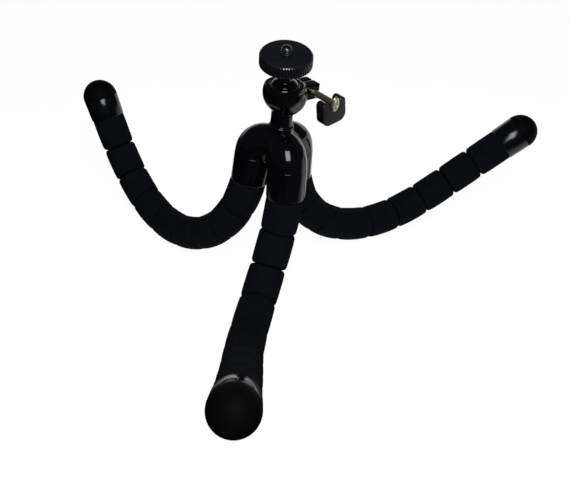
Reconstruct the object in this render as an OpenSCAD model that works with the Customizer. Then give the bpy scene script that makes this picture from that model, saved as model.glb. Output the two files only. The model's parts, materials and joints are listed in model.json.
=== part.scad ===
// Flexible leg tripod: a three-lobed hub with a ball head on top and three
// foam-covered legs that bend at every gap between their segments.
// The legs are posed as curling feet: they drop from the hub, touch the table
// part of the way along, and rise to their tips.

/* [Legs] */
// Diameter of a foam segment (mm)
foam_d = 22.6; // [18:0.1:24]
// Distance along a leg from one gap to the next (mm)
seg_pitch = 23; // [20:0.1:28]
// Sharpest bend that the foam ends leave room for at one gap (deg)
bend_max = 32; // [24:1:40]
// Space left between two foam ends at that bend (mm)
foam_gap = 0.4; // [0.3:0.1:1]
// Diameter of the bending wire core (mm)
wire_d = 4; // [2.5:0.1:5]
// Length of the plastic ring at the end of a leg (mm)
ring_len = 14.8; // [14:0.1:22]
// Diameter of that ring where it meets the foam (mm)
ring_d = 23.4; // [18:0.1:25]
// Diameter of the rubber foot (mm)
foot_d = 23.9; // [20:0.1:28]

/* [Leg pose: front, left, right] */
// Bend at the most curled gap (deg)
curl = [23.37, 15.2, 18.15]; // [0:0.01:30]
// Gap at the middle of the curl, counted from the hub
curl_at = [3.13, 4.87, 2.28]; // [0:0.01:8]
// Number of gaps on each side that share the curl
curl_spread = [2.44, 6.47, 4.02]; // [1:0.01:9]
// Extra curl that grows over the last gaps (deg)
tip_curl = [0.47, 5.07, 1.51]; // [-10:0.01:16]
// Sideways bend at the gap that swings most (deg)
swing = [-11.41, -11.86, -7.69]; // [-15:0.01:15]
// Gap at the middle of the swing, counted from the hub
swing_at = [1.66, 3.4, 3.11]; // [0:0.01:8]
// Number of gaps on each side that share the swing
swing_spread = [3.4, 3.39, 5.44]; // [1:0.01:9]

/* [Stance] */
// Lean of the hub towards the front (deg)
lean_front = 0.03; // [-10:0.01:10]
// Lean of the hub towards the right (deg)
lean_right = 5.37; // [-10:0.01:10]
// Place of the hub to the right of the middle of the footprint (mm)
hub_x = -24.22; // [-60:0.01:60]
// Place of the hub behind the middle of the footprint (mm)
hub_y = 38.42; // [-60:0.01:60]

/* [Hub] */
// Turn of the front leg from straight ahead towards the right (deg)
hub_turn = 19.3; // [-60:0.1:60]
// Distance from the hub's axis to each leg at the collar's lower end (mm)
leg_circle_r = 16.6; // [14:0.1:22]
// Outward slope of the collars (deg)
leg_splay = 5; // [0:0.5:12]
// Diameter of a lobe (mm)
lobe_d = 23.4; // [18:0.1:24]
// Bend radius of a lobe's centreline, where it turns into the hub (mm)
elbow_r = 7; // [3:0.1:9]
// Height of the hub's top above the collars' lower ends (mm)
hub_h = 38.5; // [36:0.5:46]
// Diameter of a collar (mm)
collar_d = 23.3; // [19:0.1:26]
// Length of a collar that shows (mm)
collar_len = 16.5; // [10:0.5:18]

/* [Neck and cup] */
// Diameter of the neck (mm)
neck_d = 12.9; // [11:0.1:14]
// Height of the ball's centre above the hub's top (mm)
ball_h = 21.5; // [18:0.1:30]
// Diameter of the ball (mm)
ball_d = 18.8; // [16:0.1:20]
// Outside diameter of the cup (mm)
cup_d = 24.9; // [23:0.1:28]
// Shift of the thicker wall that carries the ears (mm)
ear_wall = 2.8; // [1:0.1:4]
// Height of the cup's rim above the ball's centre (mm)
cup_rim = 5.3; // [2:0.1:5.5]
// Width of the slit that lets the cup close on the ball (mm)
slit_w = 1; // [0.6:0.1:1.6]

/* [Clamp] */
// Direction of the clamp ears, from the right towards the back (deg)
ear_turn = 36.5; // [0:0.5:90]
// Distance from the ball's centre to the clamp screw (mm)
screw_r = 15.5; // [13:0.1:17]
// Diameter of the clamp screw (mm)
screw_d = 4; // [3:0.1:4.2]
// Length of the screw between the front ear and its flange (mm)
screw_out = 18.2; // [12:0.1:22]
// Height of the ears (mm)
ear_h = 9.2; // [8:0.1:11]
// Thickness of the front ear (mm)
front_ear_t = 6.5; // [4:0.1:8]
// Thickness of the rear ear (mm)
rear_ear_t = 5; // [4.5:0.1:7]
// Width of the knob (mm)
knob_w = 16.6; // [12:0.1:18]
// Reach of the knob below the screw (mm)
knob_drop = 12.8; // [9:0.1:15]
// Thickness of the knob (mm)
knob_t = 6.4; // [4:0.1:8]
// Turn of the knob from hanging straight down (deg)
knob_turn = 11; // [-45:1:45]

/* [Platform] */
// Tilt of the ball and the platform from the hub's axis (deg)
head_lean = 12.7; // [-30:0.1:30]
// Direction of that tilt, from straight ahead towards the right (deg)
head_turn = -9.4; // [-180:0.1:180]
// Diameter of the knurled platform disc (mm)
disc_d = 29.8; // [26:0.1:36]
// Thickness of the disc (mm)
disc_t = 6.4; // [5:0.1:9]
// Height of the disc's top above the ball's centre (mm)
disc_top = 25.3; // [22:0.1:30]
// Number of grooves in the knurl
knurl_count = 60; // [36:1:72]
// Diameter of the pad on the disc (mm)
pad_d = 26.6; // [20:0.1:27]
// Diameter of the camera stud over its thread (mm)
stud_d = 6.35; // [6.3:0.01:6.35]
// Height of the stud above the pad (mm)
stud_out = 4.5; // [4.5:0.1:6]

/* [Fits] */
// Radial space in a hole that something turns in (mm)
turn_fit = 0.08; // [0.03:0.01:0.1]
// Radial space in a hole that something is fixed in (mm)
seat_fit = 0.02; // [0:0.01:0.05]
// Space between pieces that move past each other (mm)
move_gap = 0.3; // [0.25:0.05:0.5]

/* [Hidden] */
leg_names = ["front", "left", "right"];
seg_count = 9;
foam_r = foam_d/2;
wire_r = wire_d/2;
foot_r = foot_d/2;
// reach of the wire into the ring, and room beyond it
wire_end = 7;
wire_end_room = 0.5;
// plug of the foot in its ring
plug_r = foot_r - 3.5;
plug_len = 6;
wire_bore_r = wire_r + move_gap;
// the foam ends are cones, so that a gap can bend to its limit
end_slope = tan(bend_max/2);
end_back = foam_r*end_slope + foam_gap/2;
// the wire is a little thicker where it bends
knuckle_r = wire_r + 0.15;
// collar and hub
collar_r = collar_d/2;
collar_lift = 0.5;
seam_h = collar_lift + collar_len;
lobe_r = lobe_d/2;
bend_step = 0.05;
elbow_lap = 12;
arm_start = 1.5;
socket_r = 7.5;
socket_len = 8;
spigot_len = 6;
wire_grip = 6;
wire_top = seam_h + socket_len + wire_grip;
elbow_z = hub_h - lobe_r - elbow_r;
elbow_len = (elbow_z + elbow_r*sin(leg_splay))/cos(leg_splay);
elbow_x = leg_circle_r - elbow_r*cos(leg_splay) - elbow_len*sin(leg_splay);
core_r = 13;
core_gap = 1.5;
core_z = seam_h + core_gap;
plug_t = 2;
bolt_r = 2.5;
bolt_head_r = 4.25;
bolt_head_h = 5;
bolt_seat_z = core_z + plug_t + bolt_head_h;
neck_r = neck_d/2;
// the neck stands on a low boss in the middle of the hub
boss_r = neck_r + 0.6;
neck_z = hub_h + 0.5;
neck_spigot_r = 4.5;
neck_spigot_len = 8;
// ball, cup and clamp, measured from the ball's centre
ball_z = hub_h + ball_h;
ball_r = ball_d/2;
cup_r = cup_d/2;
cup_in_r = ball_r + move_gap;
seat_pocket_r = 3.8;
seat_r = seat_pocket_r - move_gap;
seat_floor = -(cup_in_r + 2);
cup_foot = seat_floor - 1.5;
cup_spigot_r = 3;
cup_spigot_len = 5;
// the neck's upper end, and where its pocket for the cup's spigot ends
neck_top = ball_z + cup_foot;
spigot_pocket_z = neck_top - cup_spigot_len - 0.5;
bolt_top = spigot_pocket_z - move_gap;
slit_floor = -6;
slit_s = 1;
front_ear_s = slit_s + slit_w/2;
rear_ear_s = slit_s - slit_w/2;
ear_end = screw_r + 4.4;
screw_rad = screw_d/2;
flange_s = front_ear_s + front_ear_t + screw_out;
flange_r = 3.9;
flange_t = 1.2;
nut_af = 7;
nut_t = 3.2;
nut_sink = 1.6;
nut_s = rear_ear_s - rear_ear_t + nut_sink - nut_t;
screw_tail = nut_s - 0.6;
valley_r = 3.4;
hump_r = (knob_w/2 - valley_r)/2;
hump_z = -0.6;
knob_corner = 4.6;
// platform
disc_r = disc_d/2;
disc_z = disc_top - disc_t;
pad_t = 1;
stem_r = 4.1;
stem_top = disc_z - move_gap;
stud_r = stud_d/2;
thread_relief = 0.6;
stud_relief_r = stud_r - thread_relief;
disc_bore_r = stud_relief_r + turn_fit;
stud_shank_r = 2.5;
stud_base = ball_r - 2;
stud_tip = disc_top + stud_out;
stud_chamfer = 1;
knurl_r = 0.5;
eps = 0.01;
$fn = 96;

// LEG PATH. A frame is [point, along, outward, sideways], in the hub's own axes.

function bell(x, power) = exp(-pow(abs(x), power));
function bend_at(i, k) = curl[i]*bell((k - curl_at[i])/curl_spread[i], 4)
  + tip_curl[i]*max(0, (k - 5)/3);
function swing_of(i, k) = swing[i]*bell((k - swing_at[i])/swing_spread[i], 2);

function leg_azimuth(i) = hub_turn - i*360/len(leg_names);
function outward(i) = [sin(leg_azimuth(i)), -cos(leg_azimuth(i)), 0];
function root_frame(i) =
  let (r = outward(i), z = [0, 0, 1],
       along = r*sin(leg_splay) - z*cos(leg_splay),
       out = r*cos(leg_splay) + z*sin(leg_splay))
  [r*leg_circle_r, along, out, cross(along, out)];

// bends a frame at a gap, first outward and then sideways
function bent(f, b, s) =
  let (along = f[1]*cos(b) + f[2]*sin(b), out = f[2]*cos(b) - f[1]*sin(b))
  [f[0], along*cos(s) - f[3]*sin(s), out, f[3]*cos(s) + along*sin(s)];
function moved(f, d) = [f[0] + f[1]*d, f[1], f[2], f[3]];

// the frame at the hub end of segment k, from 0
function seg_frame(i, k) = bent(
  k == 0 ? root_frame(i) : moved(seg_frame(i, k - 1), seg_pitch),
  bend_at(i, k), swing_of(i, k));
function tip_frame(i) = moved(seg_frame(i, seg_count - 1), seg_pitch);

// STANCE. The hub leans, and its height puts the lowest foam edge on the table.

function leant(v) =
  let (x = v[0]*cos(lean_right) + v[2]*sin(lean_right),
       z = v[2]*cos(lean_right) - v[0]*sin(lean_right))
  [x, v[1]*cos(lean_front) - z*sin(lean_front), v[1]*sin(lean_front) + z*cos(lean_front)];
function edge_low(f, d) =
  let (z = leant(f[0] + f[1]*d)[2], slope = leant(f[1])[2])
  z - foam_r*sqrt(max(0, 1 - slope*slope));
stand_h = -min([for (i = [0:2]) for (k = [0:seg_count - 1])
  let (f = seg_frame(i, k))
  min(edge_low(f, end_back), edge_low(f, seg_pitch - end_back))]);

module stand() {
  translate([hub_x, hub_y, stand_h])
    rotate([lean_front, 0, 0])
      rotate([0, lean_right, 0])
        children();
}

// turns Z along a direction, at a point
module aim(p, d) {
  translate(p)
    rotate([0, acos(d[2]), atan2(d[1], d[0])])
      children();
}

module on_leg(f) {
  stand()
    aim(f[0], f[1])
      children();
}

module on_ball() {
  stand()
    translate([0, 0, ball_z])
      children();
}

// the ball's own axes, tilted with the head
module on_head() {
  on_ball()
    rotate([0, 0, head_turn])
      rotate([head_lean, 0, 0])
        rotate([0, 0, -head_turn])
          children();
}

// X points out along the ears and Z along the clamp screw, towards the knob
module on_screw() {
  on_ball()
    rotate([0, 0, ear_turn])
      translate([screw_r, 0, 0])
        rotate([90, 0, 0])
          children();
}

// SHAPES

module tube(r, hole_r, h) {
  difference() {
    cylinder(r = r, h = h);
    translate([0, 0, -eps])
      cylinder(r = hole_r, h = h + 2*eps);
  }
}

// a lobe's bent tube, in the plane of its leg: X outward, Z up
module elbow(r) {
  translate([elbow_x, 0, elbow_z])
    rotate([90, 0, 0])
      rotate([0, 0, leg_splay - elbow_lap])
        rotate_extrude(angle = 90 - leg_splay + elbow_lap)
          intersection() {
            translate([elbow_r, 0])
              circle(r = r);
            translate([0.5, -r])
              square([elbow_r + r, 2*r]);
          }
}

// the hub's axes, turned so that X runs out along leg i
module along_leg(i) {
  rotate([0, 0, leg_azimuth(i) - 90])
    children();
}

// HUB

module lobe(i) {
  along_leg(i) {
    elbow(lobe_r - bend_step);
    translate([arm_start, 0, hub_h - lobe_r])
      rotate([0, 90, 0])
        rotate([0, 0, 20])
          cylinder(r = lobe_r - 2*bend_step, h = elbow_x + 0.8 - arm_start);
  }
  aim(root_frame(i)[0], -root_frame(i)[1])
    translate([0, 0, seam_h])
      rotate([0, 0, 150])
        cylinder(r = lobe_r, h = elbow_len - seam_h);
}

module lobe_bores(i) {
  aim(root_frame(i)[0], -root_frame(i)[1]) {
    cylinder(r = collar_r + move_gap, h = seam_h + seat_fit);
    translate([0, 0, seam_h - eps])
      cylinder(r = socket_r, h = socket_len);
    translate([0, 0, seam_h])
      cylinder(r = wire_r + seat_fit, h = wire_top - seam_h);
  }
}

module hub_shell() {
  color("#101012")
    stand()
      difference() {
        union() {
          for (i = [0:2])
            lobe(i);
          translate([0, 0, core_z])
            cylinder(r = boss_r, h = neck_z - core_z);
          intersection() {
            translate([0, 0, hub_h - core_r - 0.5])
              sphere(r = core_r);
            translate([0, 0, core_z])
              cylinder(r = 2*core_r, h = hub_h);
          }
        }
        for (i = [0:2])
          lobe_bores(i);
        translate([0, 0, seam_h/2])
          cylinder(r = bolt_head_r + 0.35, h = bolt_seat_z - seam_h/2);
        translate([0, 0, core_z])
          cylinder(r = bolt_r + 0.2, h = hub_h);
        translate([0, 0, hub_h - neck_spigot_len])
          cylinder(r = neck_spigot_r + seat_fit, h = neck_spigot_len + 5);
      }
}

module collar(i) {
  color("#0e0e10")
    stand()
      aim(root_frame(i)[0], -root_frame(i)[1])
        difference() {
          union() {
            translate([0, 0, collar_lift])
              cylinder(r = collar_r, h = collar_len);
            translate([0, 0, seam_h - eps])
              cylinder(r = socket_r - seat_fit, h = spigot_len);
          }
          cylinder(r = wire_bore_r, h = seam_h + spigot_len + 1);
        }
}

module neck_post() {
  flange_r = neck_r + 0.5;
  flange_h = 1.2;
  spigot_z = hub_h - neck_spigot_len;
  color("#121214")
    stand()
      difference() {
        union() {
          rotate_extrude()
            polygon([[0, neck_z], [flange_r, neck_z], [flange_r, neck_z + flange_h/2],
                     [neck_r, neck_z + flange_h + 0.6], [neck_r, neck_top], [0, neck_top]]);
          translate([0, 0, spigot_z])
            cylinder(r = neck_spigot_r, h = neck_spigot_len + neck_z - hub_h + 0.5);
        }
        translate([0, 0, spigot_pocket_z])
          cylinder(r = cup_spigot_r + seat_fit, h = neck_top - spigot_pocket_z + 1);
        translate([0, 0, spigot_z - 1])
          cylinder(r = bolt_r + seat_fit, h = spigot_pocket_z - spigot_z + 1.5);
      }
}

module neck_bolt() {
  shank = bolt_top - bolt_seat_z;
  color("#77787c")
    stand()
      translate([0, 0, bolt_seat_z])
        difference() {
          union() {
            translate([0, 0, -bolt_head_h])
              cylinder(r = bolt_head_r, h = bolt_head_h);
            cylinder(r = bolt_r, h = shank);
          }
          translate([0, 0, -bolt_head_h - eps])
            cylinder(d = 4.6, h = 2.5, $fn = 6);
        }
}

module hub_plug() {
  color("#121214")
    stand()
      translate([0, 0, core_z])
        cylinder(r = bolt_head_r + 0.35 - seat_fit, h = plug_t);
}

// HEAD

module ears() {
  rotate([0, 0, ear_turn])
    for (s = [rear_ear_s - rear_ear_t, front_ear_s])
      translate([cup_r - 3.4, -s - (s < 0 ? rear_ear_t : front_ear_t), -ear_h/2])
        cube([ear_end - cup_r + 3.4, s < 0 ? rear_ear_t : front_ear_t, ear_h]);
}

module ball_cup() {
  color("#101012")
    on_ball()
      difference() {
        union() {
          intersection() {
            union() {
              sphere(r = cup_r);
              rotate([0, 0, ear_turn])
                translate([ear_wall, 0, -ear_wall])
                  sphere(r = cup_r - 1);
            }
            translate([0, 0, cup_foot])
              cylinder(r = 2*cup_r, h = cup_rim - cup_foot);
          }
          ears();
          translate([0, 0, cup_foot])
            cylinder(r = neck_r, h = -cup_foot - ball_r + 1);
          translate([0, 0, cup_foot - cup_spigot_len])
            cylinder(r = cup_spigot_r, h = cup_spigot_len + 1);
        }
        sphere(r = cup_in_r);
        translate([0, 0, seat_floor])
          cylinder(r = seat_pocket_r, h = 4);
        rotate([0, 0, ear_turn])
          translate([0, -slit_s - slit_w/2, slit_floor])
            cube([2*cup_r, slit_w, 3*cup_r]);
        rotate([0, 0, ear_turn])
          translate([screw_r, 0, 0])
            rotate([90, 0, 0]) {
              translate([0, 0, -2*cup_r])
                cylinder(r = screw_rad + turn_fit, h = 4*cup_r);
              translate([0, 0, nut_s - cup_r])
                cylinder(r = nut_af/2/cos(30), h = nut_t + cup_r, $fn = 6);
            }
      }
}

module clamp_nut() {
  color("#c9c4b8")
    on_screw()
      translate([0, 0, nut_s])
        difference() {
          cylinder(r = nut_af/2/cos(30), h = nut_t, $fn = 6);
          translate([0, 0, -1])
            cylinder(r = screw_rad + turn_fit, h = nut_t + 2);
        }
}

module clamp_screw() {
  color("#c9c4b8")
    on_screw()
      union() {
        translate([0, 0, screw_tail])
          cylinder(r = screw_rad, h = flange_s - screw_tail);
        translate([0, 0, flange_s])
          cylinder(r = flange_r, h = flange_t);
      }
}

module knob_outline() {
  difference() {
    union() {
      translate([-knob_w/2, knob_corner - knob_drop])
        square([knob_w, knob_drop - knob_corner + hump_z]);
      translate([knob_corner - knob_w/2, -knob_drop])
        square([knob_w - 2*knob_corner, knob_corner + 1]);
      for (side = [-1, 1]) {
        translate([side*(knob_w/2 - knob_corner), knob_corner - knob_drop])
          circle(r = knob_corner);
        translate([side*(knob_w/2 - hump_r), hump_z])
          circle(r = hump_r);
      }
    }
    translate([0, valley_r - screw_rad/2])
      circle(r = valley_r);
    translate([-valley_r, valley_r - screw_rad/2])
      square([2*valley_r, 2*hump_r]);
    circle(r = screw_rad + seat_fit);
  }
}

module clamp_knob() {
  color("#151517")
    on_screw()
      translate([0, 0, flange_s - knob_t])
        rotate([0, 0, knob_turn])
          linear_extrude(height = knob_t)
            knob_outline();
}

module ball_seat() {
  color("#d8d4c8")
    on_ball()
      difference() {
        translate([0, 0, seat_floor + move_gap])
          tube(seat_r, 1.5, 4);
        sphere(r = cup_in_r);
      }
}

module ball_stem() {
  color("#0c0c0e")
    on_head()
      difference() {
        union() {
          sphere(r = ball_r);
          cylinder(r = stem_r, h = stem_top);
        }
        translate([0, 0, stud_base])
          cylinder(r = stud_shank_r + seat_fit, h = stem_top);
      }
}

module camera_stud() {
  color("#17171a")
    on_head()
      union() {
        translate([0, 0, stud_base])
          cylinder(r = stud_shank_r, h = stem_top - stud_base + 0.5);
        translate([0, 0, stem_top])
          cylinder(r = stud_relief_r, h = disc_top - stem_top + 0.5);
        translate([0, 0, disc_top])
          cylinder(r = stud_r, h = stud_out - stud_chamfer);
        translate([0, 0, stud_tip - stud_chamfer])
          cylinder(r1 = stud_r, r2 = stud_r - stud_chamfer, h = stud_chamfer);
      }
}

module platform_disc() {
  bevel = 1.2;
  skirt = 1.6;
  lip_r = pad_d/2 + 0.4;
  color("#111113")
    on_head()
      translate([0, 0, disc_z])
        difference() {
          rotate_extrude()
            polygon([[disc_bore_r, 0], [disc_r - skirt, 0], [disc_r, skirt],
                     [disc_r, disc_t - bevel], [lip_r, disc_t], [pad_d/2, disc_t],
                     [pad_d/2, disc_t - pad_t], [disc_bore_r, disc_t - pad_t]]);
          for (n = [0:knurl_count - 1])
            rotate([0, 0, n*360/knurl_count])
              translate([disc_r + 0.05, 0, -1])
                cylinder(r = knurl_r, h = disc_t - bevel + 1, $fn = 32);
        }
}

module platform_pad() {
  color("#1b1b1e")
    on_head()
      translate([0, 0, disc_top - pad_t])
        tube(pad_d/2 - seat_fit, stud_r + 0.25, pad_t);
}

// LEGS

module wire(i) {
  f = root_frame(i);
  color("#8d9096")
    stand()
      union() {
        aim(f[0], -f[1])
          cylinder(r = wire_r, h = wire_top);
        for (k = [0:seg_count - 1])
          aim(seg_frame(i, k)[0], seg_frame(i, k)[1]) {
            sphere(r = knuckle_r);
            cylinder(r = wire_r, h = seg_pitch + (k == seg_count - 1 ? wire_end : 0));
          }
      }
}

module foam(i, k) {
  far_back = k == seg_count ? 0 : end_back;
  far_bore = k == seg_count ? 0 : wire_bore_r*end_slope + foam_gap/2;
  near_bore = wire_bore_r*end_slope + foam_gap/2;
  color("#141519")
    on_leg(seg_frame(i, k - 1))
      rotate_extrude()
        polygon([[wire_bore_r, near_bore], [foam_r, end_back],
                 [foam_r, seg_pitch - far_back], [wire_bore_r, seg_pitch - far_bore]]);
}

module ring(i) {
  color("#0e0e10")
    on_leg(tip_frame(i))
      difference() {
        cylinder(r1 = ring_d/2, r2 = foot_r, h = ring_len);
        translate([0, 0, -eps])
          cylinder(r = wire_bore_r, h = wire_end + wire_end_room);
        translate([0, 0, ring_len - plug_len])
          cylinder(r = plug_r, h = plug_len + eps);
      }
}

module foot(i) {
  color("#18181a")
    on_leg(tip_frame(i))
      union() {
        translate([0, 0, ring_len])
          intersection() {
            sphere(r = foot_r);
            cylinder(r = foot_r + 1, h = foot_r + 1);
          }
        translate([0, 0, ring_len - plug_len])
          cylinder(r = plug_r - seat_fit, h = plug_len + 0.5);
      }
}

hub_shell();
neck_post();
neck_bolt();
hub_plug();
ball_cup();
clamp_nut();
clamp_screw();
clamp_knob();
ball_seat();
ball_stem();
camera_stud();
platform_disc();
platform_pad();
for (i = [0:2]) {
  collar(i);
  wire(i);
  for (k = [1:seg_count])
    foam(i, k);
  ring(i);
  foot(i);
}
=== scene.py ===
import json
import math

import bpy
from mathutils import Matrix, Vector

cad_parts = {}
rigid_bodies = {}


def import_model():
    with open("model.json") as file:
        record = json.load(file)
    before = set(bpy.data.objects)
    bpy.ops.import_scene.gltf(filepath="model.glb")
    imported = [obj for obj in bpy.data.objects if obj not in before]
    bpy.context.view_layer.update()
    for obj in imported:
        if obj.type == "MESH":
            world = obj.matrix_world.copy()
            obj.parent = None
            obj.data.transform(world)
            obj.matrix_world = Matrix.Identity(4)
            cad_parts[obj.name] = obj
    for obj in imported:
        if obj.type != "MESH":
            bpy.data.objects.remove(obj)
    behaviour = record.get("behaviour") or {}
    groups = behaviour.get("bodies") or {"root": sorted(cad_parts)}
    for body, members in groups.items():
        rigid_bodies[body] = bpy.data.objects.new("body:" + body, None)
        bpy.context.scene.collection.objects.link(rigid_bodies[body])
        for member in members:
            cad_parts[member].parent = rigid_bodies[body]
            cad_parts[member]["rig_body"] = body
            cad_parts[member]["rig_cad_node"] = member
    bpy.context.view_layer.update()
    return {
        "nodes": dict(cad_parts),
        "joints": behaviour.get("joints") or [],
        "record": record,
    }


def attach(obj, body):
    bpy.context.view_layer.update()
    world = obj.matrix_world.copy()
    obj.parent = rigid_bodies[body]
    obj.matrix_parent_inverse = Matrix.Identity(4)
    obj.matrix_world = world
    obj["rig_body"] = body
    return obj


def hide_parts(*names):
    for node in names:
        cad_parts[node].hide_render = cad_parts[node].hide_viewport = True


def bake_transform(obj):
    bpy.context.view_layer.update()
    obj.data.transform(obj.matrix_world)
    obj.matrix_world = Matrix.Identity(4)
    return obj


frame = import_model()
scene = bpy.context.scene
scene.view_settings.view_transform = "Standard"
joints = {j["name"]: j for j in frame["joints"]}
legNames = ["front", "left", "right"]
segmentCount = 9
mm = 0.001
print("frame loaded:", len(frame["nodes"]), "nodes")


# places that the joints give

def jointPoint(name):
    return Vector(joints[name]["pos_m"])


def jointAxis(name):
    return Vector(joints[name]["axis"]).normalized()


def middleOf(node):
    verts = frame["nodes"][node].data.vertices
    return sum((v.co for v in verts), Vector()) / len(verts)


def frameAt(point, along, side):
    # a matrix whose Z runs along, and whose X leans as near to side as it can
    z = along.normalized()
    x = (side - z * side.dot(z)).normalized()
    y = z.cross(x)
    return Matrix(((x.x, y.x, z.x, point.x), (x.y, y.y, z.y, point.y),
                   (x.z, y.z, z.z, point.z), (0, 0, 0, 1)))


hubAxis = jointAxis("head_pan")
ballCentre = jointPoint("head_pan")
sideways = jointAxis("head_tilt")
ballFrame = frameAt(ballCentre, hubAxis, sideways)
headFrame = frameAt(ballCentre, jointAxis("disc_turn"), sideways)
screwFrame = frameAt(jointPoint("clamp_turn"), jointAxis("clamp_turn"), -hubAxis)


def legPath(leg):
    gaps = [jointPoint(leg + "_bend_%d" % k) for k in range(1, segmentCount + 1)]
    lastWay = (middleOf(leg + "_ring") - gaps[-1]).normalized()
    pitch = (gaps[1] - gaps[0]).length
    gaps.append(gaps[-1] + lastWay * pitch)
    rootWay = (gaps[0] - middleOf(leg + "_collar")).normalized()
    return {"gaps": gaps, "rootWay": rootWay, "pitch": pitch}


paths = {leg: legPath(leg) for leg in legNames}


# modelling helpers

def clearSelection():
    if bpy.context.object and bpy.context.object.mode != "OBJECT":
        bpy.ops.object.mode_set(mode="OBJECT")
    bpy.ops.object.select_all(action="DESELECT")


def makeActive(obj):
    clearSelection()
    obj.select_set(True)
    bpy.context.view_layer.objects.active = obj


def arc(r, z, radius, start, end, steps):
    # points of a profile on an arc, by angle from +r towards +z
    points = []
    for i in range(steps + 1):
        a = math.radians(start + (end - start) * i / steps)
        points.append((r + radius * math.cos(a), z + radius * math.sin(a)))
    return points


def spinProfile(name, profile, steps):
    # draws a profile point by point in XZ (mm), spins it about Z and closes its seam
    clearSelection()
    bpy.ops.mesh.primitive_plane_add(size=2 * mm)
    obj = bpy.context.object
    obj.name = name
    bpy.ops.object.mode_set(mode="EDIT")
    bpy.ops.mesh.select_all(action="SELECT")
    bpy.ops.mesh.merge(type="CENTER")
    r, z = profile[0]
    bpy.ops.transform.translate(value=(r * mm, 0, z * mm))
    for nextR, nextZ in profile[1:]:
        step = ((nextR - r) * mm, 0, (nextZ - z) * mm)
        bpy.ops.mesh.extrude_region_move(TRANSFORM_OT_translate={"value": step})
        r, z = nextR, nextZ
    bpy.ops.mesh.select_all(action="SELECT")
    bpy.ops.mesh.spin(steps=steps, angle=2 * math.pi, center=(0, 0, 0), axis=(0, 0, 1))
    bpy.ops.mesh.select_all(action="SELECT")
    bpy.ops.mesh.remove_doubles(threshold=0.002 * mm)
    bpy.ops.mesh.normals_make_consistent(inside=False)
    bpy.ops.object.mode_set(mode="OBJECT")
    return obj


def applyModifier(obj, kind, **values):
    makeActive(obj)
    modifier = obj.modifiers.new(kind.lower(), kind)
    for key, value in values.items():
        setattr(modifier, key, value)
    bpy.ops.object.modifier_apply(modifier=modifier.name)


def smoothShade(obj, degrees):
    makeActive(obj)
    bpy.ops.object.shade_smooth_by_angle(angle=math.radians(degrees))


def placeAt(obj, matrix):
    # puts the place into the mesh, so that the object stays at the origin
    makeActive(obj)
    obj.matrix_world = matrix
    bpy.ops.object.transform_apply(location=True, rotation=True, scale=True)


def ownCopy(obj, name):
    makeActive(obj)
    bpy.ops.object.duplicate()
    copy = bpy.context.object
    copy.name = name
    return copy


def discard(obj):
    makeActive(obj)
    bpy.ops.object.delete()


def copyNode(node, name):
    # a merged copy of a CAD node, ready for bevels
    makeActive(frame["nodes"][node])
    bpy.ops.object.duplicate()
    obj = bpy.context.object
    bpy.ops.object.parent_clear(type="CLEAR_KEEP_TRANSFORM")
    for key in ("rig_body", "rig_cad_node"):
        del obj[key]
    obj.name = name
    bpy.ops.object.mode_set(mode="EDIT")
    bpy.ops.mesh.select_all(action="SELECT")
    bpy.ops.mesh.customdata_custom_splitnormals_clear()
    bpy.ops.mesh.remove_doubles(threshold=0.002 * mm)
    bpy.ops.mesh.dissolve_limited(angle_limit=math.radians(1))
    bpy.ops.object.mode_set(mode="OBJECT")
    return obj


def finishPiece(obj, body, slotName, material, *nodes):
    obj.data.materials.clear()
    obj.data.materials.append(material)
    if body:
        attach(obj, body)
    if nodes:
        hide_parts(*nodes)


# shader groups

def newGroup(name, inputs, outputs):
    # a group whose inputs and outputs are all plain values
    tree = bpy.data.node_groups.new(name, "ShaderNodeTree")
    for label, value in inputs:
        socket = tree.interface.new_socket(name=label, in_out="INPUT", socket_type="NodeSocketFloat")
        socket.default_value = value
    for label in outputs:
        tree.interface.new_socket(name=label, in_out="OUTPUT", socket_type="NodeSocketFloat")
    start = tree.nodes.new("NodeGroupInput")
    end = tree.nodes.new("NodeGroupOutput")
    return tree, start, end


def addNode(tree, kind, **values):
    node = tree.nodes.new(kind)
    for key, value in values.items():
        if key == "inputs":
            for socket, given in value:
                node.inputs[socket].default_value = given
        else:
            setattr(node, key, value)
    return node


def fineGrainGroup():
    # moulded or sprayed grain: a height and a slow blotch, both from 0 to 1
    tree, start, end = newGroup("fineGrain", [("Grain Size", 0.4), ("Blotch Size", 12.0)],
                                ["Height", "Blotch"])
    coords = addNode(tree, "ShaderNodeTexCoord")
    for label, detail, out in (("Grain Size", 3.0, "Height"), ("Blotch Size", 4.0, "Blotch")):
        perMetre = addNode(tree, "ShaderNodeMath", operation="DIVIDE", inputs=[(0, 1000.0)])
        noise = addNode(tree, "ShaderNodeTexNoise", inputs=[("Detail", detail), ("Roughness", 0.6)])
        tree.links.new(start.outputs[label], perMetre.inputs[1])
        tree.links.new(perMetre.outputs[0], noise.inputs["Scale"])
        tree.links.new(coords.outputs["Object"], noise.inputs["Vector"])
        tree.links.new(noise.outputs["Fac"], end.inputs[out])
    return tree


dustLook = {"speckSize": 0.9, "speckEdge": (0.16, 0.04), "colour": (0.3, 0.3, 0.31)}


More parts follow.
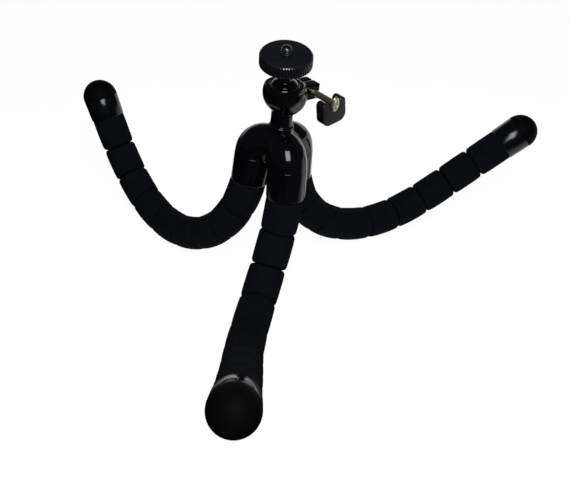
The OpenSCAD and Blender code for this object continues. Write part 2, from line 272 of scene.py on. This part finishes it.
def dustGroup():
    # specks that settle on what faces up
    tree, start, end = newGroup("settledDust", [("Speck Size", 0.5), ("Amount", 0.3)], ["Mask"])
    coords = addNode(tree, "ShaderNodeTexCoord")
    perMetre = addNode(tree, "ShaderNodeMath", operation="DIVIDE", inputs=[(0, 1000.0)])
    cells = addNode(tree, "ShaderNodeTexVoronoi")
    farEdge, nearEdge = dustLook["speckEdge"]
    specks = addNode(tree, "ShaderNodeMapRange", inputs=[("From Min", farEdge), ("From Max", nearEdge)])
    geometry = addNode(tree, "ShaderNodeNewGeometry")
    split = addNode(tree, "ShaderNodeSeparateXYZ")
    up = addNode(tree, "ShaderNodeMath", operation="MAXIMUM", inputs=[(1, 0.0)])
    both = addNode(tree, "ShaderNodeMath", operation="MULTIPLY")
    scaled = addNode(tree, "ShaderNodeMath", operation="MULTIPLY")
    links = tree.links
    links.new(start.outputs["Speck Size"], perMetre.inputs[1])
    links.new(perMetre.outputs[0], cells.inputs["Scale"])
    links.new(coords.outputs["Object"], cells.inputs["Vector"])
    links.new(cells.outputs["Distance"], specks.inputs["Value"])
    links.new(geometry.outputs["Normal"], split.inputs[0])
    links.new(split.outputs["Z"], up.inputs[0])
    links.new(specks.outputs[0], both.inputs[0])
    links.new(up.outputs[0], both.inputs[1])
    links.new(both.outputs[0], scaled.inputs[0])
    links.new(start.outputs["Amount"], scaled.inputs[1])
    links.new(scaled.outputs[0], end.inputs["Mask"])
    return tree


fineGrain = fineGrainGroup()
settledDust = dustGroup()


def grainMaterial(name, look):
    # a material whose colour, roughness and surface vary by the shared groups
    material = bpy.data.materials.new(name)
    material.use_nodes = True
    tree = material.node_tree
    shader = tree.nodes["Principled BSDF"]
    shader.inputs["Metallic"].default_value = look.get("metallic", 0.0)
    shader.inputs["Specular IOR Level"].default_value = look.get("specular", 0.5)
    grain = addNode(tree, "ShaderNodeGroup", node_tree=fineGrain)
    grain.inputs["Grain Size"].default_value = look["grainSize"]
    grain.inputs["Blotch Size"].default_value = look["blotchSize"]
    dust = addNode(tree, "ShaderNodeGroup", node_tree=settledDust)
    dust.inputs["Speck Size"].default_value = dustLook["speckSize"]
    dust.inputs["Amount"].default_value = look["dust"]
    colours = addNode(tree, "ShaderNodeMix", data_type="RGBA")
    colours.inputs[6].default_value = (*look["dark"], 1)
    colours.inputs[7].default_value = (*look["light"], 1)
    dusted = addNode(tree, "ShaderNodeMix", data_type="RGBA")
    dusted.inputs[7].default_value = (*dustLook["colour"], 1)
    smoothest, roughest = look["roughness"]
    rough = addNode(tree, "ShaderNodeMapRange", inputs=[("From Min", 0.3), ("From Max", 0.7),
                                                        ("To Min", smoothest), ("To Max", roughest)])
    bump = addNode(tree, "ShaderNodeBump")
    bump.inputs["Strength"].default_value = look["bump"]
    bump.inputs["Distance"].default_value = look.get("bumpDepth", 0.1) * mm
    links = tree.links
    links.new(grain.outputs["Blotch"], colours.inputs[0])
    links.new(colours.outputs[2], dusted.inputs[6])
    links.new(dust.outputs["Mask"], dusted.inputs[0])
    links.new(dusted.outputs[2], shader.inputs["Base Color"])
    links.new(grain.outputs["Blotch"], rough.inputs["Value"])
    links.new(rough.outputs[0], shader.inputs["Roughness"])
    links.new(grain.outputs["Height"], bump.inputs["Height"])
    links.new(bump.outputs["Normal"], shader.inputs["Normal"])
    return material


# base colours run from dark to light with the blotches; sizes and depths are in mm
finishes = {
    "glossyShell": {"dark": (0.0009, 0.0009, 0.0015), "light": (0.0024, 0.0024, 0.0033), "specular": 0.3,
                    "roughness": (0.06, 0.12), "grainSize": 0.6, "blotchSize": 9.0,
                    "bump": 0.02, "dust": 0.04},
    "softFoam": {"dark": (0.0015, 0.0018, 0.0027), "light": (0.0051, 0.006, 0.0087), "specular": 0.045,
                 "roughness": (0.85, 1.0), "grainSize": 0.55, "blotchSize": 5.0,
                 "bump": 0.6, "bumpDepth": 0.35, "dust": 0.04},
    "footRubber": {"dark": (0.0012, 0.0012, 0.0015), "light": (0.003, 0.003, 0.0036), "specular": 0.02,
                   "roughness": (0.5, 0.62), "grainSize": 0.35, "blotchSize": 7.0,
                   "bump": 0.12, "dust": 0.02},
    "satinPlastic": {"dark": (0.003, 0.003, 0.0039), "light": (0.0066, 0.0066, 0.0081), "specular": 0.9,
                     "roughness": (0.14, 0.22), "grainSize": 0.25, "blotchSize": 6.0,
                     "bump": 0.1, "dust": 0.05},
    "tipPlastic": {"dark": (0.0009, 0.0012, 0.0021), "light": (0.0024, 0.003, 0.0048), "specular": 0.3,
                   "roughness": (0.13, 0.21), "grainSize": 0.5, "blotchSize": 6.0,
                   "bump": 0.05, "dust": 0.05},
    "padRubber": {"dark": (0.0024, 0.003, 0.0045), "light": (0.0054, 0.0066, 0.0093), "specular": 0.15,
                  "roughness": (0.5, 0.65), "grainSize": 0.3, "blotchSize": 5.0,
                  "bump": 0.2, "dust": 0.08},
    "blackMetal": {"dark": (0.006, 0.006, 0.0072), "light": (0.015, 0.015, 0.0168), "specular": 0.9,
                   "roughness": (0.14, 0.24), "grainSize": 0.2, "blotchSize": 3.0,
                   "bump": 0.05, "dust": 0.02},
    "nickel": {"dark": (0.74, 0.67, 0.55), "light": (0.9, 0.84, 0.72), "metallic": 1.0,
               "roughness": (0.26, 0.4), "grainSize": 0.15, "blotchSize": 3.0,
               "bump": 0.08, "dust": 0.05},
    "bareWire": {"dark": (0.32, 0.32, 0.33), "light": (0.5, 0.5, 0.52), "metallic": 1.0,
                 "roughness": (0.35, 0.5), "grainSize": 0.3, "blotchSize": 4.0,
                 "bump": 0.1, "dust": 0.1},
    "bearingNylon": {"dark": (0.6, 0.58, 0.52), "light": (0.7, 0.68, 0.62), "specular": 0.4,
                     "roughness": (0.4, 0.55), "grainSize": 0.3, "blotchSize": 3.0,
                     "bump": 0.1, "dust": 0.05},
}
looks = {name: grainMaterial(name, look) for name, look in finishes.items()}
slotLooks = {"hub_plastic": "glossyShell", "head_plastic": "glossyShell", "tip_plastic": "tipPlastic",
             "foam": "softFoam", "foot_rubber": "footRubber", "knob_plastic": "satinPlastic",
             "disc_plastic": "satinPlastic", "pad_rubber": "padRubber", "black_metal": "blackMetal",
             "steel": "nickel", "bearing_nylon": "bearingNylon", "wire": "bareWire"}
for row in frame["record"]["subparts"]:
    node = frame["nodes"][row["node"]]
    node.data.materials.clear()
    node.data.materials.append(looks[slotLooks[row["material_slot"]]])
print("materials made:", len(looks))


# camera, from the photograph's viewing angle

cameraView = {"place": (-0.02678, -0.34639, 0.29225), "pitch": 34.38, "yaw": 1.113, "roll": -0.649,
              "focalPixels": 716.2, "imageWidth": 569, "sensor": 36, "near": 0.01}
pitch, yaw, roll = (math.radians(cameraView[k]) for k in ("pitch", "yaw", "roll"))
forward = Vector((math.sin(yaw) * math.cos(pitch), math.cos(yaw) * math.cos(pitch), -math.sin(pitch)))
levelRight = forward.cross(Vector((0, 0, 1))).normalized()
levelUp = levelRight.cross(forward)
viewRight = levelRight * math.cos(roll) + levelUp * math.sin(roll)
viewUp = levelUp * math.cos(roll) - levelRight * math.sin(roll)
clearSelection()
bpy.ops.object.camera_add()
camera = bpy.context.object
place = Vector(cameraView["place"])
camera.matrix_world = Matrix(((viewRight.x, viewUp.x, -forward.x, place.x),
                              (viewRight.y, viewUp.y, -forward.y, place.y),
                              (viewRight.z, viewUp.z, -forward.z, place.z), (0, 0, 0, 1)))
camera.data.sensor_width = cameraView["sensor"]
camera.data.sensor_fit = "HORIZONTAL"
camera.data.lens = cameraView["sensor"] * cameraView["focalPixels"] / cameraView["imageWidth"]
camera.data.clip_start = cameraView["near"]
scene.camera = camera
print("camera set")


# foam legs: each segment is two soft halves that meet at its middle, and each half is bent
# to the turn of the gap at its own end

foamLook = {"radius": 11.35, "notch": 0.2, "edge": 2.6, "crown": 0.15, "bore": 2.4, "around": 48,
            "endNotch": 0.1, "endEdge": 0.5, "straight": 0.01, "smooth": 40}


def halfProfile(length, notch, edge):
    # from the middle of a segment at z = 0 to its end face
    r, crown = foamLook["radius"], foamLook["crown"]
    end = length - notch / 2
    side = [(r, 0), (r, 0.2 * length), (r - 0.2 * crown, 0.45 * length)]
    rounded = arc(r - crown - edge, end - edge, edge, 0, 80, 6)
    face = [(0.62 * r, end + 0.08), (0.45 * r, end + 0.1), (foamLook["bore"], end + 0.1)]
    return [(foamLook["bore"], 0)] + side + rounded + face + [(foamLook["bore"], 0)]


def foamHalf(name, point, along, nextAlong, halfPitch, notch, edge):
    # along points from the middle to the gap, and nextAlong goes on past it
    turn = along.angle(nextAlong) if nextAlong else 0.0
    bends = turn >= foamLook["straight"]
    reach = halfPitch / math.tan(turn / 2) * turn / 2 if bends else halfPitch
    obj = spinProfile(name, halfProfile(reach / mm, notch, edge), foamLook["around"])
    applyModifier(obj, "SUBSURF", subdivision_type="SIMPLE", levels=1, render_levels=1)
    if bends:
        applyModifier(obj, "SIMPLE_DEFORM", deform_method="BEND", deform_axis="Y", angle=turn / 2)
    smoothShade(obj, foamLook["smooth"])
    placeAt(obj, frameAt(point, along, nextAlong if bends else hubAxis))
    return obj


def bodyOf(leg, k):
    return "hub" if k == 0 else "%s_seg_%d" % (leg, k)


def makeLeg(leg):
    path = paths[leg]
    gaps, half = path["gaps"], path["pitch"] / 2
    ways = [path["rootWay"]] + [(gaps[k + 1] - gaps[k]).normalized() for k in range(segmentCount)]
    for k in range(1, segmentCount + 1):
        middle = (gaps[k - 1] + gaps[k]) / 2
        way = ways[k]
        near = foamHalf("%sFoam%dNear" % (leg, k), middle, -way, -ways[k - 1], half, foamLook["notch"],
                        foamLook["edge"])
        finishPiece(near, None, "foam", looks["softFoam"], "%s_foam_%d" % (leg, k))
        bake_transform(near)
        last = k == segmentCount
        far = foamHalf("%sFoam%dFar" % (leg, k), middle, way, None if last else ways[k + 1], half,
                       foamLook["endNotch" if last else "notch"], foamLook["endEdge" if last else "edge"])
        finishPiece(far, bodyOf(leg, k) if last else None, "foam", looks["softFoam"])
        if not last:
            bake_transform(far)
    print(leg, "foam made")


for leg in legNames:
    makeLeg(leg)


# leg tips: a glossy ring with a rubber dome, modelled once and copied to each leg

tipShape = {"startRadius": 11.7, "endRadius": 11.95, "length": 14.8, "lip": 0.5, "bore": 2.4,
            "seam": 0.3, "gap": 0.02, "footGap": 0.06, "footEdge": 0.3, "around": 72}


def tipRing():
    t = tipShape
    start, end, length, lip, low = t["startRadius"], t["endRadius"], t["length"], t["lip"], t["gap"]
    profile = [(t["bore"], low), (start - lip, low)]
    profile += arc(start - lip, low + lip, lip, -90, 0, 4)[1:]
    profile += [(start + 0.45 * (end - start), 0.45 * length), (end, length - t["seam"])]
    profile += [(end - 0.12, length - 0.1), (end - 0.45, length), (t["bore"], length)]
    ring = spinProfile("tipRing", profile + [profile[0]], t["around"])
    smoothShade(ring, 35)
    return ring


def tipFoot():
    t = tipShape
    end, edge = t["endRadius"], t["footEdge"]
    base = t["length"] + t["footGap"]
    profile = [(0, base), (end - 0.5, base)] + arc(end - edge, base + edge, edge, -90, 0, 3)[1:]
    profile += arc(0, base + edge, end, 0, 90, 20)[1:]
    foot = spinProfile("tipFoot", profile, t["around"])
    smoothShade(foot, 50)
    return foot


def makeTips():
    ring, foot = tipRing(), tipFoot()
    for leg in legNames:
        gaps = paths[leg]["gaps"]
        matrix = frameAt(gaps[-1], gaps[-1] - gaps[-2], hubAxis)
        body = bodyOf(leg, segmentCount)
        legRing = ownCopy(ring, leg + "Ring")
        placeAt(legRing, matrix)
        finishPiece(legRing, body, "tip_plastic", looks["tipPlastic"], leg + "_ring")
        legFoot = ownCopy(foot, leg + "Foot")
        placeAt(legFoot, matrix)
        finishPiece(legFoot, body, "foot_rubber", looks["footRubber"], leg + "_foot")
    discard(ring)
    discard(foot)
    print("tips made")


makeTips()


# collars between the hub and the foam, and the wire core of each leg

collarShape = {"radius": 11.78, "start": 0.5, "end": 19.6, "lip": 0.7, "topEdge": 0.4, "bore": 2.6,
               "around": 72}
wireShape = {"radius": 2.0, "knuckle": 2.15, "around": 20}


def makeCollars():
    c = collarShape
    r, start, end, lip, edge = c["radius"], c["start"], c["end"], c["lip"], c["topEdge"]
    profile = [(c["bore"], start), (r - lip, start)]
    profile += arc(r - lip, start + lip, lip, -90, 0, 4)[1:]
    profile += [(r, 0.5 * end), (r, end - edge - 0.05)]
    profile += arc(r - edge, end - edge, edge, 0, 90, 3)[1:]
    profile += [(c["bore"], end)]
    collar = spinProfile("collar", profile + [profile[0]], c["around"])
    smoothShade(collar, 35)
    for leg in legNames:
        path = paths[leg]
        legCollar = ownCopy(collar, leg + "Collar")
        placeAt(legCollar, frameAt(path["gaps"][0], -path["rootWay"], sideways))
        finishPiece(legCollar, "hub", "hub_plastic", looks["glossyShell"], leg + "_collar")
    discard(collar)


def makeWires():
    w = wireShape
    length = paths["front"]["pitch"] / mm
    knuckle = arc(0, 0, w["knuckle"], -90, 66, 8)
    profile = knuckle + [(w["radius"], 0.5 * length)] + [(r, length - z) for r, z in reversed(knuckle)]
    rod = spinProfile("wireRod", profile, w["around"])
    smoothShade(rod, 50)
    for leg in legNames:
        gaps = paths[leg]["gaps"]
        for k in range(1, segmentCount + 1):
            piece = ownCopy(rod, "%sWire%d" % (leg, k))
            placeAt(piece, frameAt(gaps[k - 1], gaps[k] - gaps[k - 1], sideways))
            nodes = [leg + "_wire"] if k == 1 else []
            finishPiece(piece, bodyOf(leg, k), "wire", looks["bareWire"], *nodes)
    discard(rod)
    print("collars and wires made")


makeCollars()
makeWires()


# neck, ball and stem, all turned about the hub's axis from the ball's centre

neckShape = {"radius": 6.45, "footRadius": 7.6, "bottom": -21.6, "middle": -15.5, "top": -13.22, "foot": 1.7,
             "topEdge": 0.25, "around": 64}
ballShape = {"radius": 9.4, "stemRadius": 4.1, "stemTop": 18.6, "topEdge": 0.3, "around": 72}


def makeNeck():
    n = neckShape
    r, low, top, edge = n["radius"], n["bottom"], n["top"], n["topEdge"]
    footEdge = n["footRadius"] - r
    profile = [(0, low), (n["footRadius"], low)]
    profile += arc(r, low + n["foot"] - footEdge, footEdge, 0, 72, 6)
    profile += arc(r + 0.55, low + n["foot"] + 0.45, 0.4, 250, 180, 4)
    profile += [(r, n["middle"]), (r, top - edge), (r - edge, top), (0, top)]
    neck = spinProfile("neckPost", profile, n["around"])
    smoothShade(neck, 35)
    placeAt(neck, ballFrame)
    finishPiece(neck, "hub", "hub_plastic", looks["glossyShell"], "neck_post")


def makeBall():
    b = ballShape
    stem, top, edge = b["stemRadius"], b["stemTop"], b["topEdge"]
    meet = math.degrees(math.acos(stem / b["radius"]))
    profile = arc(0, 0, b["radius"], -90, meet - 5, 24)
    rise = b["radius"] * math.sin(math.radians(meet))
    profile += [(stem + 0.12, rise + 0.35), (stem, rise + 1.0)]
    profile += [(stem, top - edge), (stem - edge, top), (0, top)]
    ball = spinProfile("ballStem", profile, b["around"])
    smoothShade(ball, 40)
    placeAt(ball, headFrame)
    finishPiece(ball, "ball", "head_plastic", looks["glossyShell"], "ball_stem")


makeNeck()
makeBall()
print("neck and ball made")


# camera stud: a quarter-inch thread with a rounded tip

studShape = {"radius": 3.175, "depth": 0.62, "pitch": 1.27, "bottom": 18.8, "shoulder": 25.3, "tip": 29.8,
             "crown": 2.4, "steps": 40}


def makeStud():
    # one thread form is swept up a helix, then cut to the stud's outline
    s = studShape
    inner = s["radius"] - s["depth"]
    p = s["pitch"]
    clearSelection()
    bpy.ops.mesh.primitive_plane_add(size=2 * mm)
    thread = bpy.context.object
    thread.name = "cameraStud"
    bpy.ops.object.mode_set(mode="EDIT")
    bpy.ops.mesh.select_all(action="SELECT")
    bpy.ops.mesh.merge(type="CENTER")
    z = s["shoulder"] - 2 * p
    bpy.ops.transform.translate(value=(inner * mm, 0, z * mm))
    turns = int((s["tip"] - z) / p) + 2
    for rise, out in ((0.08, 0), (0.36, s["depth"]), (0.12, 0), (0.36, -s["depth"]), (0.08, 0)):
        step = (out * mm, 0, rise * p * mm)
        bpy.ops.mesh.extrude_region_move(TRANSFORM_OT_translate={"value": step})
    bpy.ops.object.mode_set(mode="OBJECT")
    applyModifier(thread, "SCREW", axis="Z", angle=2 * math.pi, screw_offset=p * mm, iterations=turns,
                  steps=s["steps"], render_steps=s["steps"], use_merge_vertices=True,
                  merge_threshold=0.001 * mm)
    bpy.ops.object.mode_set(mode="EDIT")
    bpy.ops.mesh.select_all(action="SELECT")
    bpy.ops.mesh.remove_doubles(threshold=0.002 * mm)
    bpy.ops.mesh.select_all(action="DESELECT")
    bpy.ops.mesh.select_mode(type="EDGE")
    bpy.ops.mesh.select_non_manifold()
    bpy.ops.mesh.fill()
    bpy.ops.mesh.select_all(action="SELECT")
    bpy.ops.mesh.normals_make_consistent(inside=False)
    bpy.ops.mesh.select_mode(type="VERT")
    bpy.ops.object.mode_set(mode="OBJECT")
    c = s["crown"]
    outline = [(0, s["bottom"]), (inner - 0.05, s["bottom"]), (inner - 0.05, s["shoulder"] - 0.6),
               (s["radius"], s["shoulder"])]
    outline += arc(s["radius"] - c, s["tip"] - c, c, 0, 90, 7) + [(0, s["tip"])]
    envelope = spinProfile("studEnvelope", outline, s["steps"])
    applyModifier(thread, "BOOLEAN", operation="INTERSECT", solver="EXACT", object=envelope)
    discard(envelope)
    smoothShade(thread, 30)
    placeAt(thread, headFrame)
    finishPiece(thread, "ball", "black_metal", looks["blackMetal"], "camera_stud")
    print("stud made:", len(thread.data.polygons), "faces")


makeStud()


# platform disc: a turned body whose rim is cut into ribs

discShape = {"radius": 14.95, "bottom": 18.25, "under": 18.9, "top": 25.3, "bevel": 0.9, "lip": 13.65,
             "pad": 13.32, "padDepth": 1.0, "bore": 2.66, "edge": 0.6, "skirt": (3.2, 2.2), "around": 120,
             "ribs": 60, "grooveRadius": 0.62, "grooveDepth": 8, "grooveTop": 25.0, "grooveAround": 20}


def makeDisc():
    d = discShape
    r, low, top, edge = d["radius"], d["bottom"], d["top"], d["edge"]
    shoulder, padFloor = top - d["bevel"], top - d["padDepth"]
    skirtIn, skirtOut = d["skirt"]
    profile = [(d["bore"], d["under"]), (r - skirtIn, d["under"]), (r - skirtOut, low), (r - edge, low)]
    profile += arc(r - edge, low + edge, edge, -70, 0, 4)
    profile += [(r, shoulder - 0.25), (r - 0.12, shoulder + 0.05), (d["lip"] + 0.15, top - 0.03)]
    profile += [(d["lip"] - 0.05, top), (d["pad"], top), (d["pad"], padFloor), (d["bore"], padFloor)]
    disc = spinProfile("platformDisc", profile + [profile[0]], d["around"])
    clearSelection()
    bpy.ops.mesh.primitive_cylinder_add(vertices=d["grooveAround"], radius=d["grooveRadius"] * mm,
                                        depth=d["grooveDepth"] * mm)
    groove = bpy.context.object
    placeAt(groove, Matrix.Translation((r * mm, 0, (d["grooveTop"] - d["grooveDepth"] / 2) * mm)))
    grooves = [groove]
    for n in range(1, d["ribs"]):
        turned = ownCopy(groove, "groove")
        placeAt(turned, Matrix.Rotation(2 * math.pi * n / d["ribs"], 4, "Z"))
        grooves.append(turned)
    makeActive(groove)
    for piece in grooves:
        piece.select_set(True)
    bpy.ops.object.join()
    applyModifier(disc, "BOOLEAN", operation="DIFFERENCE", solver="EXACT", object=groove)
    discard(groove)
    smoothShade(disc, 35)
    placeAt(disc, headFrame)
    finishPiece(disc, "platform", "disc_plastic", looks["satinPlastic"], "platform_disc")
    print("disc made:", len(disc.data.polygons), "faces")


makeDisc()


# clamp screw: a plain rod with an oval plate at the knob

screwShape = {"radius": 2.0, "tail": -6.7, "tailEdge": 0.4, "threadEnd": 9.0, "relief": 0.1,
              "plateAt": 26.2, "plate": 1.2, "plateRadius": 4.3, "plateEdge": 0.4, "plateCrown": 0.5,
              "dish": 0.15, "oval": 0.6, "around": 48}


def makeScrew():
    s = screwShape
    r, tail, tailEdge, threadEnd = s["radius"], s["tail"], s["tailEdge"], s["threadEnd"]
    shank, rodEnd = r - s["relief"], s["plateAt"] + 0.3
    profile = [(0, tail), (r - tailEdge, tail), (r, tail + tailEdge)]
    profile += [(r, threadEnd), (shank, threadEnd + 0.3), (shank, rodEnd), (0, rodEnd)]
    rod = spinProfile("clampScrew", profile, s["around"])
    low, high, wide = s["plateAt"], s["plateAt"] + s["plate"], s["plateRadius"]
    edge, crown, dished = s["plateEdge"], s["plateCrown"], high - s["dish"]
    rim = [(0, low), (wide - edge, low)] + arc(wide - edge, low + edge, edge, -90, 0, 3)[1:]
    rim += arc(wide - crown, high - crown, crown, 0, 90, 4)
    rim += [(0.55 * wide, high), (0.5 * wide, dished), (0, dished)]
    plate = spinProfile("screwPlate", rim, s["around"])
    bpy.ops.object.mode_set(mode="EDIT")
    bpy.ops.mesh.select_all(action="SELECT")
    bpy.ops.transform.resize(value=(1, s["oval"], 1))
    bpy.ops.object.mode_set(mode="OBJECT")
    makeActive(rod)
    plate.select_set(True)
    bpy.ops.object.join()
    smoothShade(rod, 40)
    placeAt(rod, screwFrame)
    finishPiece(rod, "clamp", "steel", looks["nickel"], "clamp_screw")


makeScrew()
print("screw made")


# hard pieces whose CAD shape is right get softened edges on a merged copy

softenedPieces = {
    "platform_pad": {"name": "platformPad", "body": "platform", "slot": "pad_rubber",
                     "width": 0.3, "segments": 3, "angle": 40},
    "clamp_nut": {"name": "clampNut", "body": "hub", "slot": "steel",
                  "width": 0.25, "segments": 2, "angle": 30},
}
# moulded pieces are rebuilt on a fine even grid and relaxed, which rounds their corners and creases
mouldedPieces = {
    "hub_shell": {"name": "hubShell", "body": "hub", "slot": "hub_plastic", "grid": 0.45, "passes": 60},
    "ball_cup": {"name": "ballCup", "body": "hub", "slot": "head_plastic", "grid": 0.28, "passes": 20},
    "clamp_knob": {"name": "clampKnob", "body": "clamp", "slot": "knob_plastic", "grid": 0.22, "passes": 12},
}


def softenEdges(node, p):
    obj = copyNode(node, p["name"])
    applyModifier(obj, "BEVEL", width=p["width"] * mm, segments=p["segments"], limit_method="ANGLE",
                  angle_limit=math.radians(p["angle"]), harden_normals=False, use_clamp_overlap=True)
    smoothShade(obj, 30)
    finishPiece(obj, p["body"], p["slot"], looks[slotLooks[p["slot"]]], node)


def mouldPiece(node, p):
    obj = copyNode(node, p["name"])
    applyModifier(obj, "REMESH", mode="VOXEL", voxel_size=p["grid"] * mm)
    applyModifier(obj, "SMOOTH", factor=0.5, iterations=p["passes"])
    smoothShade(obj, 50)
    finishPiece(obj, p["body"], p["slot"], looks[slotLooks[p["slot"]]], node)
    print(p["name"], "moulded:", len(obj.data.polygons), "faces")


for nodeName, piece in softenedPieces.items():
    softenEdges(nodeName, piece)
for nodeName, piece in mouldedPieces.items():
    mouldPiece(nodeName, piece)
print("hard pieces softened:", len(softenedPieces) + len(mouldedPieces))


# stage: a white floor and soft studio light

# behind and beside are the bands, in metres, over which the floor's reflection goes from dark to bright
floorLook = {"size": 8, "colour": (0.8, 0.8, 0.8), "roughness": 0.9, "glow": 1.08, "glowShare": 0.88,
             "behind": (-0.03, 0.06), "beside": (-0.18, -0.08), "mirrorLevels": (0.05, 1.0)}
roomLook = {"room": (0.05, 0.051, 0.054), "backdrop": (1, 1, 1)}
lamps = {
    "overheadSoft": {"place": (-0.15, 0.1, 1.2), "target": (-0.02, 0, 0.05), "shape": "DISK",
                     "size": (0.5, 0.5), "watts": 1.4, "mirrored": False},
    "frontStrip": {"place": (0.03, -0.44, 0.54), "target": (-0.02, 0.03, 0.12), "shape": "RECTANGLE",
                   "size": (0.28, 0.4), "watts": 4, "mirrored": True},
    "backStrip": {"place": (0, 1.25, 0.3), "target": (0, 0, 0.08), "shape": "RECTANGLE",
                  "size": (2.4, 0.4), "watts": 3, "mirrored": True},
}


def stageFloor():
    clearSelection()
    bpy.ops.mesh.primitive_plane_add(size=floorLook["size"])
    floor = bpy.context.object
    floor.name = "floor"
    material = bpy.data.materials.new("paleFloor")
    material.use_nodes = True
    tree = material.node_tree
    shader = tree.nodes["Principled BSDF"]
    shader.inputs["Base Color"].default_value = (*floorLook["colour"], 1)
    shader.inputs["Roughness"].default_value = floorLook["roughness"]
    glow = addNode(tree, "ShaderNodeEmission", inputs=[("Strength", floorLook["glow"])])
    rays = addNode(tree, "ShaderNodeLightPath")
    seen = addNode(tree, "ShaderNodeMath", operation="MULTIPLY", inputs=[(1, floorLook["glowShare"])])
    # in reflections the floor is bright behind the tripod and dark on the viewer's side
    coords = addNode(tree, "ShaderNodeTexCoord")
    split = addNode(tree, "ShaderNodeSeparateXYZ")
    bands = []
    for band, (dark, bright) in (("behind", floorLook["mirrorLevels"]), ("beside", (0.0, 1.0))):
        low, high = floorLook[band]
        limits = [("From Min", low), ("From Max", high), ("To Min", dark), ("To Max", bright)]
        bands.append(addNode(tree, "ShaderNodeMapRange", interpolation_type="SMOOTHSTEP", inputs=limits))
    behind, beside = bands
    level = addNode(tree, "ShaderNodeMath", operation="MULTIPLY")
    mirror = addNode(tree, "ShaderNodeEmission")
    either = addNode(tree, "ShaderNodeMath", operation="MAXIMUM")
    mirrored = addNode(tree, "ShaderNodeMixShader")
    mix = addNode(tree, "ShaderNodeMixShader")
    links = tree.links
    links.new(coords.outputs["Object"], split.inputs[0])
    links.new(split.outputs["Y"], behind.inputs["Value"])
    links.new(split.outputs["X"], beside.inputs["Value"])
    links.new(behind.outputs[0], level.inputs[0])
    links.new(beside.outputs[0], level.inputs[1])
    links.new(level.outputs[0], mirror.inputs["Strength"])
    links.new(rays.outputs["Is Glossy Ray"], either.inputs[0])
    links.new(rays.outputs["Is Transmission Ray"], either.inputs[1])
    links.new(either.outputs[0], mirrored.inputs[0])
    links.new(shader.outputs[0], mirrored.inputs[1])
    links.new(mirror.outputs[0], mirrored.inputs[2])
    links.new(rays.outputs["Is Camera Ray"], seen.inputs[0])
    links.new(seen.outputs[0], mix.inputs[0])
    links.new(mirrored.outputs[0], mix.inputs[1])
    links.new(glow.outputs[0], mix.inputs[2])
    links.new(mix.outputs[0], tree.nodes["Material Output"].inputs["Surface"])
    floor.data.materials.append(material)


def stageWorld():
    world = bpy.data.worlds.new("studio")
    scene.world = world
    world.use_nodes = True
    tree = world.node_tree
    room = tree.nodes["Background"]
    room.inputs["Color"].default_value = (*roomLook["room"], 1)
    white = addNode(tree, "ShaderNodeBackground", inputs=[("Color", (*roomLook["backdrop"], 1))])
    rays = addNode(tree, "ShaderNodeLightPath")
    mix = addNode(tree, "ShaderNodeMixShader")
    tree.links.new(rays.outputs["Is Camera Ray"], mix.inputs[0])
    tree.links.new(room.outputs[0], mix.inputs[1])
    tree.links.new(white.outputs[0], mix.inputs[2])
    tree.links.new(mix.outputs[0], tree.nodes["World Output"].inputs["Surface"])


def softLight(name, lamp):
    clearSelection()
    bpy.ops.object.light_add(type="AREA", location=lamp["place"])
    light = bpy.context.object
    light.name = name
    light.data.shape = lamp["shape"]
    light.data.size, light.data.size_y = lamp["size"]
    light.data.energy = lamp["watts"]
    light.visible_glossy = lamp["mirrored"]
    aim = Vector(lamp["target"]) - Vector(lamp["place"])
    light.rotation_euler = aim.to_track_quat("-Z", "Y").to_euler()


stageFloor()
stageWorld()
for lampName, lamp in lamps.items():
    softLight(lampName, lamp)
print("stage made")
